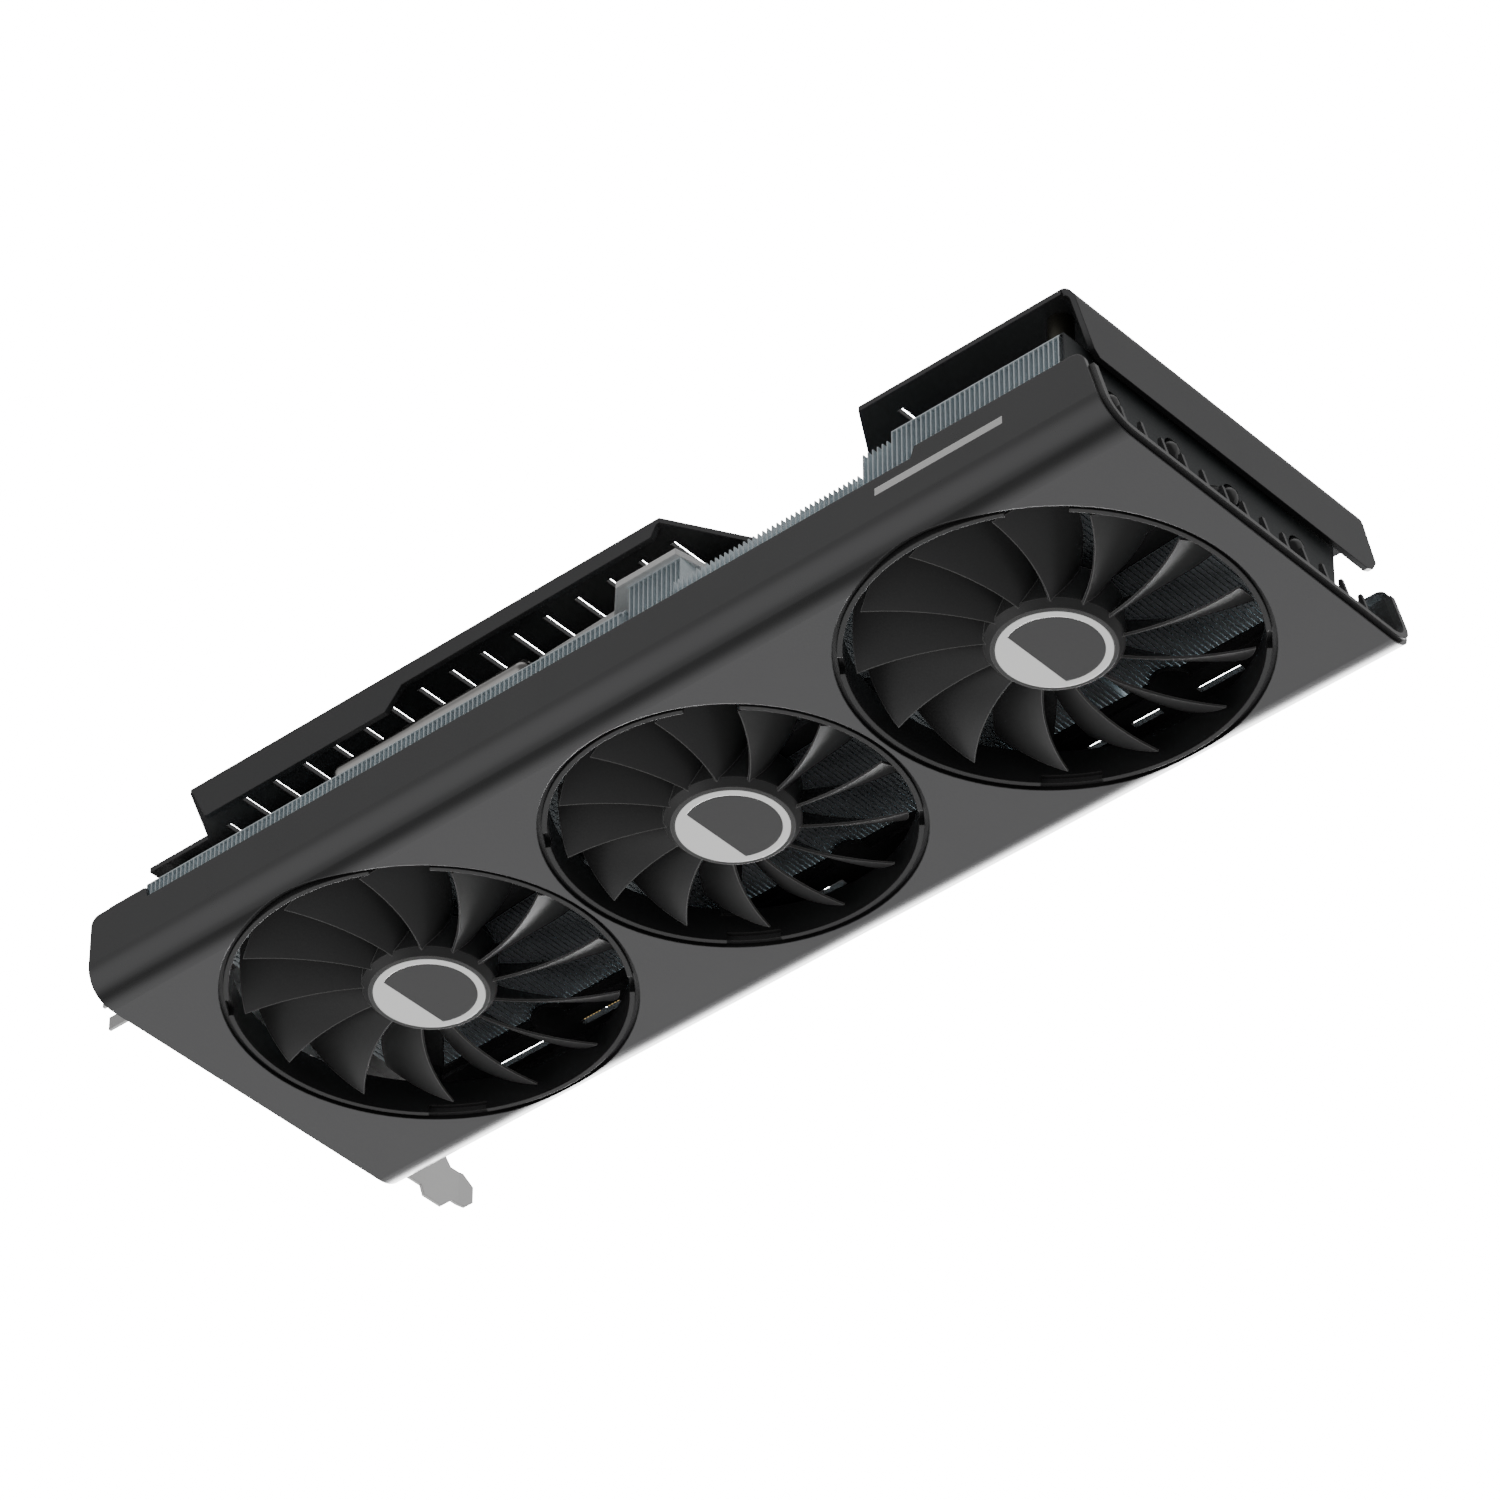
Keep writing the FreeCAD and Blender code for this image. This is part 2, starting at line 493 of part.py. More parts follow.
def base_frame():
    """Bright plate between the fins and the board, with an opening for the cold plate."""
    outline = [(FRAME_X0, -45.6), (-17.6, -45.6), (-15.6, -57.7), (9.6, -58.7), (16.9, -66.2),
               (35.8, -66.2), (37.4, -57.0), (FRAME_NECK_X, -50.0), (FRAME_NECK_X, SOCKET_BACK_Y),
               (FRAME_X1, SOCKET_BACK_Y), (FRAME_X1, FIN_Y1), (FRAME_X0, FIN_Y1)]
    plate = prism_xy(outline, FRAME_Z0, FRAME_Z1)
    gap = COLD_HALF + WINDOW_GAP
    window = box(CHIP_X - gap, CHIP_Y - gap, FRAME_Z0 - 1, CHIP_X + gap, CHIP_Y + gap, FRAME_Z1 + 1)
    return plate.cut(window)


# ---- board ----
KEY_X = BRACKET_X + 57.15                      # centre of the notch in the contact tongue
KEY_HALF = 0.95
SHORT_CONTACTS, LONG_CONTACTS = 11.65, 71.65
BOARD_TOP = BOARD_Z + BOARD_T
M_SCREW_R = 1.25                               # screws through the board and the backplate
HEAD_SINK, HEAD_R = 0.8, 2.5                   # their heads are sunk in the backplate
POST_OUT_R = 2.6
SPRING_WINDOW_R = 4.5                          # hole in the backplate over each spring screw
STANDOFFS = [(-146.0, -44.0), (-146.0, 40.0), (-92.0, -44.0), (-12.0, 40.0), (28.0, -44.0),
             (84.0, 40.0)]
TAIL_POSTS = [(148.2, -59.6), (148.2, 22.0)]
SPRING_SPAN = 37.0
SPRING_PLACES = [(CHIP_X + sx * SPRING_SPAN, CHIP_Y + sy * SPRING_SPAN)
                 for sx in (-1, 1) for sy in (-1, 1)]
EAR_X, EARS_Y = -151.5, (-46.9, 44.0)          # screws that join the bracket to the board
SPRING_SCREW_R = 1.5
KEY_DEPTH, TONGUE_BEVEL = 8.0, 1.0
HOOK_W, HOOK_GAP = 7.0, 3.0                    # retention hook behind the long run of contacts
PAD_W, PAD_L, PAD_T = 0.7, 4.2, 0.08


def circuit_board():
    outline = [(BOARD_X0, BOARD_Y0), (NOTCH_X0, BOARD_Y0), (NOTCH_X0, NOTCH_Y),
               (BOARD_X1, NOTCH_Y), (BOARD_X1, BOARD_Y1 - 3), (BOARD_X1 - 3, BOARD_Y1)]
    long_end = KEY_X + KEY_HALF + LONG_CONTACTS
    short_start = KEY_X - KEY_HALF - SHORT_CONTACTS
    bevel, key_y = TONGUE_BEVEL, CONTACT_Y - KEY_DEPTH
    outline += [(long_end, BOARD_Y1), (long_end, CONTACT_Y - bevel), (long_end - bevel, CONTACT_Y),
                (KEY_X + KEY_HALF, CONTACT_Y), (KEY_X + KEY_HALF, key_y),
                (KEY_X - KEY_HALF, key_y), (KEY_X - KEY_HALF, CONTACT_Y),
                (short_start + bevel, CONTACT_Y), (short_start, CONTACT_Y - bevel),
                (short_start, BOARD_Y1), (BOARD_X0, BOARD_Y1)]
    board = prism_xy(outline, BOARD_Z, BOARD_TOP)
    holes = [rod(x, y, BOARD_Z - 1, BOARD_TOP + 1, M_SCREW_R) for x, y in STANDOFFS]
    holes += [rod(x, y, BOARD_Z - 1, BOARD_TOP + 1, SPRING_SCREW_R) for x, y in SPRING_PLACES]
    holes += [rod(EAR_X, y, BOARD_Z - 1, BOARD_TOP + 1, M_SCREW_R) for y in EARS_Y]
    x0, x1, tip_y = long_end + HOOK_GAP, long_end + HOOK_GAP + HOOK_W, CONTACT_Y - 1.5
    hook = prism_xy([(x0, BOARD_Y1 - 1), (x1, BOARD_Y1 - 1), (x1, tip_y - 1.5), (x1 - 1.5, tip_y),
                     (x0, tip_y), (x0, tip_y - 3.0), (x0 + 2.5, tip_y - 3.0),
                     (x0 + 2.5, BOARD_Y1 + 1.5), (x0, BOARD_Y1 + 1.5)], BOARD_Z, BOARD_TOP)
    return fuse([board, hook]).cut(Part.makeCompound(holes))


def edge_contacts():
    """Gold pads on both faces of the contact tongue, one millimetre apart."""
    pads = []
    starts = [(KEY_X - KEY_HALF - SHORT_CONTACTS + 0.6, 11), (KEY_X + KEY_HALF + 0.4, 71)]
    for start, count in starts:
        for i in range(count):
            x = start + i
            for z in (BOARD_Z - PAD_T, BOARD_TOP):
                y1 = CONTACT_Y - TONGUE_BEVEL
                pads.append(box(x, y1 - PAD_L, z, x + PAD_W, y1, z + PAD_T))
    return pads


PACKAGE_HALF, DIE_HALF, PACKAGE_Z0 = 20.0, 9.5, 39.5


def gpu_package():
    return box(CHIP_X - PACKAGE_HALF, CHIP_Y - PACKAGE_HALF, PACKAGE_Z0,
               CHIP_X + PACKAGE_HALF, CHIP_Y + PACKAGE_HALF, BOARD_Z)


def gpu_die():
    return box(CHIP_X - DIE_HALF, CHIP_Y - DIE_HALF, COLD_Z1,
               CHIP_X + DIE_HALF, CHIP_Y + DIE_HALF, PACKAGE_Z0)


MEMORY_SIZE = (12.0, 14.0, 1.1)
CHOKE_SIZE = (9.0, 9.0, 2.7)
STAGE_SIZE = (5.0, 6.0, 0.9)


def two_columns(offset, count, pitch, y0):
    """Places in a column on each side of the main chip."""
    return [(CHIP_X + side * offset, y0 + pitch * i) for side in (-1, 1) for i in range(count)]


MEMORY_PLACES = two_columns(30.5, 4, 16.0, CHIP_Y - 24.0)
CHOKE_PLACES = two_columns(54.0, 7, 11.5, CHIP_Y - 34.0)
STAGE_PLACES = two_columns(65.5, 7, 11.5, CHIP_Y - 34.0)


def block_group(places, size, z1):
    w, d, h = size
    return [box(x - w / 2, y - d / 2, z1 - h, x + w / 2, y + d / 2, z1) for x, y in places]


CAN_R, CAN_H, CAN_FOOT, CAN_Y = 3.15, 6.4, 0.8, 38.5
CAN_XS = (-118.0, -74.0, -4.0, 24.0, 66.0, 76.0)


def capacitors():
    cans = []
    half = CAN_R + 0.15
    top = BOARD_Z - CAN_FOOT
    for x in CAN_XS:
        can = rod(x, CAN_Y, top - CAN_H, top, CAN_R)
        foot = box(x - half, CAN_Y - half, top, x + half, CAN_Y + half, BOARD_Z)
        cans.append(fuse([can, foot]))
    return cans


def thermal_pads():
    """Soft pads that fill the gap between the hot parts and the base frame round the cold plate."""
    pads = []
    w, d, h = MEMORY_SIZE
    window = COLD_HALF + WINDOW_GAP
    for x, y in MEMORY_PLACES:
        if x < CHIP_X:
            x0, x1 = x - w / 2, min(x + w / 2, CHIP_X - window)
        else:
            x0, x1 = max(x - w / 2, CHIP_X + window), x + w / 2
        pads.append(box(x0, y - d / 2 + 1, FRAME_Z1, x1, y + d / 2 - 1, BOARD_Z - h))
    w, d, h = STAGE_SIZE
    for x, y in STAGE_PLACES:
        pads.append(box(x - w / 2, y - d / 2, FRAME_Z1, x + w / 2, y + d / 2, BOARD_Z - h))
    return pads


SOCKET_W, SOCKET_H, SOCKET_D = 18.2, 9.6, 12.0
SOCKET_XS = (53.2, 78.0)
SOCKET_Y0, SOCKET_Z0 = NOTCH_Y - 2.0, BOARD_Z - SOCKET_H
LATCH_HALF, LATCH_T, LATCH_L = 2.6, 1.8, 8.0
PIN_PITCH, PIN_COLUMNS, PIN_ROWS, FIRST_ROW = 4.2, 4, 2, 2.75
PIN_HALF, CELL_HALF, CELL_DEPTH = 0.5, 1.7, 9.5


def pin_places(cx):
    """Centres of the pins of one socket, as (x, z)."""
    return [(cx + (i - (PIN_COLUMNS - 1) / 2) * PIN_PITCH, SOCKET_Z0 + FIRST_ROW + j * PIN_PITCH)
            for i in range(PIN_COLUMNS) for j in range(PIN_ROWS)]


def power_sockets():
    sockets = []
    for cx in SOCKET_XS:
        y0, z0, h = SOCKET_Y0, SOCKET_Z0, CELL_HALF
        body = box(cx - SOCKET_W / 2, y0, z0, cx + SOCKET_W / 2, y0 + SOCKET_D, BOARD_Z)
        latch = box(cx - LATCH_HALF, y0, z0 - LATCH_T, cx + LATCH_HALF, y0 + LATCH_L, z0)
        cells = [box(x - h, y0 - 1, z - h, x + h, y0 + CELL_DEPTH, z + h) for x, z in pin_places(cx)]
        sockets.append(fuse([body, latch]).cut(Part.makeCompound(cells)))
    return sockets


def power_pins():
    h = PIN_HALF
    return [box(x - h, SOCKET_Y0 + 2.0, z - h, x + h, SOCKET_Y0 + CELL_DEPTH, z + h)
            for cx in SOCKET_XS for x, z in pin_places(cx)]


# ---- backplate ----
PLATE_Z0 = TOP_Z - PLATE_T
LIP_T = 1.5
LIP_X0, LIP_X1, LIP_LOW_Z = -122.8, 32.4, 36.9
SLOT_X0, SLOT_STEP, SLOT_WIDTH = -124.9, 10.27, 1.5
SLOTS, SHORT_SLOTS = 16, 6                     # the first few start further in
SLOT_START, SHORT_START, FIRST_START, SLOT_END = -60.6, -58.4, -53.5, -36.0
TAIL_SLOTS, TAIL_SLOT_X0, TAIL_SLOT_Y0, TAIL_SLOT_L, TAIL_SLOT_DROP = 5, 100.4, -61.0, 8.0, 11.0
PLUG_X0, PLUG_X1, PLUG_Y = 46.5, 82.0, -27.0   # notch over the power sockets


END_BEND_R = 3.0


def end_plate():
    """Tail end of the backplate, folded down round a bend."""
    x, z = END_X - END_BEND_R, TOP_Z - END_BEND_R
    shape = prism_yz([(PLATE_END_Y0, TOP_Z), (-61.8, 38.6), (-59.0, 33.6), (-57.0, 32.0), (41.6, 32.0),
                      (43.6, 33.0), (45.0, 35.6), (39.4, TOP_Z)], x, END_X)
    flat = shape.common(box(END_X - LIP_T, -80, 0, END_X, 60, z))
    start, along = Vector(x, -80, z), Vector(0, 1, 0)
    core = Part.makeCylinder(END_BEND_R, 140, start, along)
    bore = Part.makeCylinder(END_BEND_R - LIP_T, 140, start, along)
    quarter = shape.common(box(x, -80, z, END_X, 60, TOP_Z))
    return fuse([flat, quarter.common(core).cut(bore)])


def backplate():
    outline = [(-152.4, -52.8), (-131.9, -52.8), (LIP_X0, PLATE_Y0), (LIP_X1, PLATE_Y0),
               (43.9, -48.9), (PLUG_X0, -44.5), (PLUG_X0, PLUG_Y), (PLUG_X1, PLUG_Y), (PLUG_X1, -48.8),
               (93.4, PLATE_END_Y0), (END_X - END_BEND_R, PLATE_END_Y0), (END_X - END_BEND_R, 41.0),
               (END_X - 9.0, PLATE_Y1),
               (0.0, PLATE_Y1), (-6.0, 41.5), (-152.4, 41.5)]
    plate = prism_xy(outline, PLATE_Z0, TOP_Z)
    lip = prism_xz([(LIP_X0, TOP_Z), (-117.3, LIP_LOW_Z), (-56.4, LIP_LOW_Z), (-51.0, 42.6),
                    (LIP_X1 - 2.6, 43.4), (LIP_X1, TOP_Z)], PLATE_Y0, PLATE_Y0 + LIP_T)
    body = fuse([plate, lip, end_plate()])
    slots = []
    z0, z1 = PLATE_Z0 - 1, TOP_Z + 1
    for i in range(SLOTS):
        x = SLOT_X0 + i * SLOT_STEP
        y0 = FIRST_START if i == 0 else SHORT_START if i < SHORT_SLOTS else SLOT_START
        slots.append(box(x, y0, z0, x + SLOT_WIDTH, SLOT_END, z1))
    for i in range(TAIL_SLOTS):
        x, y0 = TAIL_SLOT_X0 + i * SLOT_STEP, TAIL_SLOT_Y0 + i * TAIL_SLOT_DROP
        slots.append(box(x, y0, z0, x + SLOT_WIDTH, y0 + TAIL_SLOT_L, z1))
    slots += [rod(x, y, z0, z1, SPRING_WINDOW_R) for x, y in SPRING_PLACES]
    for x, y in STANDOFFS + TAIL_POSTS:
        slots += [rod(x, y, z0, z1, M_SCREW_R), rod(x, y, TOP_Z - HEAD_SINK, z1, HEAD_R + 0.1)]
    return body.cut(Part.makeCompound(slots))


def backplate_screws():
    screws = []
    for x, y in STANDOFFS + TAIL_POSTS:
        z0 = BOARD_TOP - 1.2 if (x, y) in STANDOFFS else TAIL_Z + 3
        shank = rod(x, y, z0, TOP_Z - HEAD_SINK, M_SCREW_R)
        screws.append(screw_head(shank, x, y, TOP_Z - HEAD_SINK, TOP_Z, HEAD_R))
    return screws


def standoffs():
    posts = [tube(x, y, BOARD_TOP, PLATE_Z0, M_SCREW_R, POST_OUT_R) for x, y in STANDOFFS]
    posts += [tube(x, y, TAIL_POST_Z, PLATE_Z0, M_SCREW_R, 3.2) for x, y in TAIL_POSTS]
    return posts


CROSS_T, CROSS_HALF, CROSS_IN_R, CROSS_OUT_R = 1.2, 4.2, 9.0, 18.0
SPRING_HEAD_Z, SPRING_HEAD_R = PLATE_Z0 + 0.3, 3.2


def cross_bracket():
    """Springy plate behind the main chip, with four arms."""
    t0, t1 = BOARD_TOP, BOARD_TOP + CROSS_T
    reach = SPRING_SPAN * math.sqrt(2) + CROSS_HALF
    arms = []
    for angle in (45, 135):
        bar = box(CHIP_X - reach, CHIP_Y - CROSS_HALF, t0, CHIP_X + reach, CHIP_Y + CROSS_HALF, t1)
        arms.append(turned(bar, CHIP_X, CHIP_Y, angle))
    middle = tube(CHIP_X, CHIP_Y, t0, t1, CROSS_IN_R, CROSS_OUT_R)
    core = rod(CHIP_X, CHIP_Y, t0 - 1, t1 + 1, CROSS_IN_R)
    holes = [rod(x, y, t0 - 1, t1 + 1, SPRING_SCREW_R) for x, y in SPRING_PLACES]
    return fuse(arms + [middle]).cut(Part.makeCompound([core] + holes))


def spring_screws():
    screws = []
    for x, y in SPRING_PLACES:
        shank = rod(x, y, FRAME_Z1, SPRING_HEAD_Z, SPRING_SCREW_R)
        screws.append(screw_head(shank, x, y, SPRING_HEAD_Z, SPRING_HEAD_Z + 1.0, SPRING_HEAD_R))
    return screws


def screw_springs():
    """Space that each coil spring fills, from the cross bracket to the screw's head."""
    return [tube(x, y, BOARD_TOP + CROSS_T, SPRING_HEAD_Z, 2.0, 2.8) for x, y in SPRING_PLACES]


# ---- bracket and display sockets ----
DISPLAY_YS = (-34.5, -12.5, 9.5, 31.5)
DISPLAY_SIZES = ((17.6, 5.8), (17.6, 5.8), (17.6, 5.8), (15.4, 5.4))
TAB_LOW, TAB_HIGH = 10.1, 20.1                 # width of the lower tab of the second slot
FOOT_Y, TAB_ROOT_Y = 59.1, 65.0                # lower edge of the plate, and start of the tabs' tips
BRACKET_Z0, BRACKET_Z1, FLANGE_Z0 = 9.0, 45.1, 5.6
NOTCH_R, NOTCH_Z, NOTCH_DEPTH = 2.2, 11.6, 5.0  # screw notches of the flange
FLANGE_CUT_X, FLANGE_CUT_Z = 2.7, 9.4          # corner cut off the flange beside the fans
EAR_HALF, EAR_END_X = 3.5, -147.5
VENT_ROWS, VENT_COLUMNS, VENT_W, VENT_H = 3, 7, 9.6, 3.2
VENT_Y0, VENT_Z0, VENT_STEP_Y, VENT_STEP_Z = -44.5, 12.6, 13.6, 5.6
SOCKET_GAP, SHELL_T = 0.3, 0.6                 # under the board, and wall of a display socket
SHELL_END_X, MOUTH_END_X = -142.5, -146.0


def slot_bracket():
    y_top = TAB_Y - BRACKET_H
    x0, x1 = BRACKET_X, BRACKET_X + BRACKET_T
    outline = [(y_top, BRACKET_Z0), (FOOT_Y - 7.6, BRACKET_Z0), (FOOT_Y - 6.5, 6.4), (FOOT_Y, 6.4)]
    for low, high in ((TAB_LOW, TAB_HIGH), (TAB_LOW + SLOT_PITCH, TAB_HIGH + SLOT_PITCH)):
        outline += [(FOOT_Y + 3.7, low), (TAB_ROOT_Y, low), (TAB_ROOT_Y, high), (FOOT_Y + 2.9, high)]
        if high == TAB_HIGH:
            outline += [(FOOT_Y, high + 3.5), (FOOT_Y, low + SLOT_PITCH - 3.8)]
    outline += [(FOOT_Y, BRACKET_Z1), (y_top, BRACKET_Z1)]
    pieces = [prism_yz(outline, x0, x1)]
    bend = 1.0
    for z in (TAB_LOW, TAB_LOW + SLOT_PITCH):
        top, past, root = z + TAB_HIGH - TAB_LOW, TAB_Y + 0.1, TAB_ROOT_Y - 0.1
        tip = prism_xy([(x0, root), (x1, root), (x1 + bend, TAB_Y), (x0 + bend, TAB_Y)], z, top)
        corners = [prism_yz([(TAB_Y - 2.2, z - 0.1), (past, z - 0.1), (past, z + 2.2)], x0 - 1, x1 + 3),
                   prism_yz([(TAB_Y - 3.2, top + 0.1), (past, top + 0.1), (past, top - 3.1)],
                            x0 - 1, x1 + 3)]
        pieces.append(tip.cut(Part.makeCompound(corners)))
    flange = box(FLANGE_X, y_top, FLANGE_Z0, x1, y_top + BRACKET_T, BRACKET_Z1)
    cuts = [box(FLANGE_X - 1, y_top - 1, FLANGE_Z0 - 1, FLANGE_X + FLANGE_CUT_X, y_top + 2, FLANGE_CUT_Z)]
    notch_x, r = FLANGE_X + NOTCH_DEPTH, NOTCH_R
    for z in (NOTCH_Z, NOTCH_Z + SLOT_PITCH):
        cuts.append(Part.makeCylinder(r, 3, Vector(notch_x, y_top - 1, z), Vector(0, 1, 0)))
        cuts.append(box(FLANGE_X - 1, y_top - 1, z - r, notch_x, y_top + 2, z + r))
    neck = box(x0, y_top, FLANGE_Z0, x1, y_top + 3.0, BRACKET_Z0 + 0.1)
    pieces += [flange.cut(Part.makeCompound(cuts)), neck]
    for y in EARS_Y:
        pieces.append(box(x0, y - EAR_HALF, BOARD_Z - BRACKET_T, EAR_END_X, y + EAR_HALF, BOARD_Z))
    body = fuse(pieces)
    windows = []
    for y, (w, h) in zip(DISPLAY_YS, DISPLAY_SIZES):
        z1 = BOARD_Z - SOCKET_GAP
        windows.append(box(x0 - 1, y - w / 2, z1 - h, x1 + 1, y + w / 2, z1))
    for row in range(VENT_ROWS):
        for i in range(VENT_COLUMNS):
            y, z = VENT_Y0 + i * VENT_STEP_Y, VENT_Z0 + row * VENT_STEP_Z
            windows.append(box(x0 - 1, y, z, x1 + 1, y + VENT_W, z + VENT_H))
    windows += [rod(EAR_X, y, BOARD_Z - 3, BOARD_Z + 1, M_SCREW_R) for y in EARS_Y]
    return body.cut(Part.makeCompound(windows))


def display_sockets():
    sockets = []
    for y, (w, h) in zip(DISPLAY_YS, DISPLAY_SIZES):
        z1, t, half = BOARD_Z - SOCKET_GAP, SHELL_T, w / 2
        shell = box(BRACKET_X + 0.1, y - half, z1 - h, SHELL_END_X, y + half, z1)
        foot = box(BOARD_X0, y - half + 1, z1, SHELL_END_X, y + half - 1, BOARD_Z)
        mouth = box(BRACKET_X - 1, y - half + t, z1 - h + t, MOUTH_END_X, y + half - t, z1 - t)
        tongue = box(BOARD_X0 + 1.5, y - half + 3, z1 - h / 2 - 0.5, MOUTH_END_X + 0.1,
                     y + half - 3, z1 - h / 2 + 0.5)
        sockets.append(fuse([fuse([shell, foot]).cut(mouth), tongue]))
    return sockets


def bracket_screws():
    screws = []
    for y in EARS_Y:
        z0 = BOARD_Z - BRACKET_T
        shank = rod(EAR_X, y, z0, BOARD_TOP + 0.6, M_SCREW_R)
        screws.append(screw_head(shank, EAR_X, y, z0, z0 - 1.4, 2.4))
    return screws


def build_all():
    save("shroud_cover", shroud_cover())
    save("shroud_liner", shroud_liner())
    for name, x, r in FANS:
        save("fan_ring_" + name, fan_ring(x, r))
        save("fan_carrier_" + name, fan_carrier(x, r))
        save("fan_bearing_" + name, fan_bearing(x))
        save("fan_stator_" + name, fan_stator(x))
        save("fan_shaft_" + name, fan_shaft(x))
        save("fan_rotor_" + name, fan_rotor(x, r, FAN_PHASES[name], BLADE_LAG[name]))
        save("hub_ring_" + name, hub_ring(x))
        save("hub_disc_" + name, hub_disc(x))
    save("carrier_screws", carrier_screws())
    save("main_fins", main_fins())
    save("tail_fins", tail_fins())
    for number, y in enumerate(BENT_PIPES_Y, 1):
        save("heat_pipe_%d" % number, bent_pipe(y))
    save("heat_pipe_4", straight_pipe())
    save("edge_pipe", capsule(EDGE_PIPE_X0, EDGE_PIPE_X1, EDGE_PIPE_Y, STEP_Z + PIPE_R, PIPE_R))
    save("cold_plate", cold_plate())
    save("base_frame", base_frame())
    save("circuit_board", circuit_board())
    save("edge_contacts", edge_contacts())
    save("gpu_package", gpu_package())
    save("gpu_die", gpu_die())
    save("memory_chips", block_group(MEMORY_PLACES, MEMORY_SIZE, BOARD_Z))
    save("chokes", block_group(CHOKE_PLACES, CHOKE_SIZE, BOARD_Z))
    save("power_stages", block_group(STAGE_PLACES, STAGE_SIZE, BOARD_Z))
    save("capacitors", capacitors())
    save("thermal_pads", thermal_pads())
    save("power_sockets", power_sockets())
    save("power_pins", power_pins())
    save("backplate", backplate())
    save("backplate_screws", backplate_screws())
    save("standoffs", standoffs())
    save("cross_bracket", cross_bracket())
    save("spring_screws", spring_screws())
    save("screw_springs", screw_springs())
    save("slot_bracket", slot_bracket())
    save("display_sockets", display_sockets())
    save("bracket_screws", bracket_screws())


build_all()
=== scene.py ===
import json
import math

import bmesh
import bpy
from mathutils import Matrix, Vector


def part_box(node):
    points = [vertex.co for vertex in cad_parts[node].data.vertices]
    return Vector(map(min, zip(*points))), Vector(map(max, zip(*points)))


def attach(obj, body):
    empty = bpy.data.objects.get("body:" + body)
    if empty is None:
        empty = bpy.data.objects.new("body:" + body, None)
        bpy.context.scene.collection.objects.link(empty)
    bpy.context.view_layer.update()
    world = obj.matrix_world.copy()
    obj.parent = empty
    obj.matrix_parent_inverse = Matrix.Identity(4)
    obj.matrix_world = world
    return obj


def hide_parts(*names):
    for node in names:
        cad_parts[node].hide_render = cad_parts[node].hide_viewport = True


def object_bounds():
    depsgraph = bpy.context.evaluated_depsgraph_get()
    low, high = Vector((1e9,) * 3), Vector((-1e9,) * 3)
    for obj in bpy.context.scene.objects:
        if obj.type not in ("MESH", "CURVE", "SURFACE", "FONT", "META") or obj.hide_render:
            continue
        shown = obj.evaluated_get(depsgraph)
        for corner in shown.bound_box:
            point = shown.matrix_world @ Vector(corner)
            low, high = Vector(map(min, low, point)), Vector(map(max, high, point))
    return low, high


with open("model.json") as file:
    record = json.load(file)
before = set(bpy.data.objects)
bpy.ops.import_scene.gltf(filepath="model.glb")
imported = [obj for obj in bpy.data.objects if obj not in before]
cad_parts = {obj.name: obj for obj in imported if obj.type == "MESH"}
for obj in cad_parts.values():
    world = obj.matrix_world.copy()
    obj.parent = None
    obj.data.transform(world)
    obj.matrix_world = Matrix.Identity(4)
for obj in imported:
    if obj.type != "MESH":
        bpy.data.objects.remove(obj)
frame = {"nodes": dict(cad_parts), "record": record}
cad_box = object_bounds()

# Looks of a graphics card with a row of fans. Units are metres, in the frame of the CAD model:
# +X from the bracket to the tail, +Y towards the edge contacts, +Z from the fans to the backplate.

MM = 0.001

# ---- camera: it looks up at the fan side ----
AZIMUTH, ELEVATION = 41.518, -38.874
AIM = Vector((30.105, -33.312, 0.0)) * MM
DISTANCE = 1789.87 * MM
LENS, SENSOR = 183.15, 36.0
CLIP_NEAR, CLIP_FAR = 0.05, 20.0


def direction(azimuth, elevation):
    """Unit vector from the middle of the scene; azimuth 0 is -Y and 90 is +X."""
    a, e = math.radians(azimuth), math.radians(elevation)
    return Vector((math.sin(a) * math.cos(e), -math.cos(a) * math.cos(e), math.sin(e)))


def add_camera():
    data = bpy.data.cameras.new("camera")
    data.lens = LENS
    data.sensor_width = SENSOR
    data.clip_start, data.clip_end = CLIP_NEAR, CLIP_FAR
    camera = bpy.data.objects.new("camera", data)
    back = direction(AZIMUTH, ELEVATION)
    camera.location = AIM + back * DISTANCE
    camera.rotation_mode = "QUATERNION"
    camera.rotation_quaternion = (-back).to_track_quat("-Z", "Y")
    bpy.context.scene.collection.objects.link(camera)
    bpy.context.scene.camera = camera


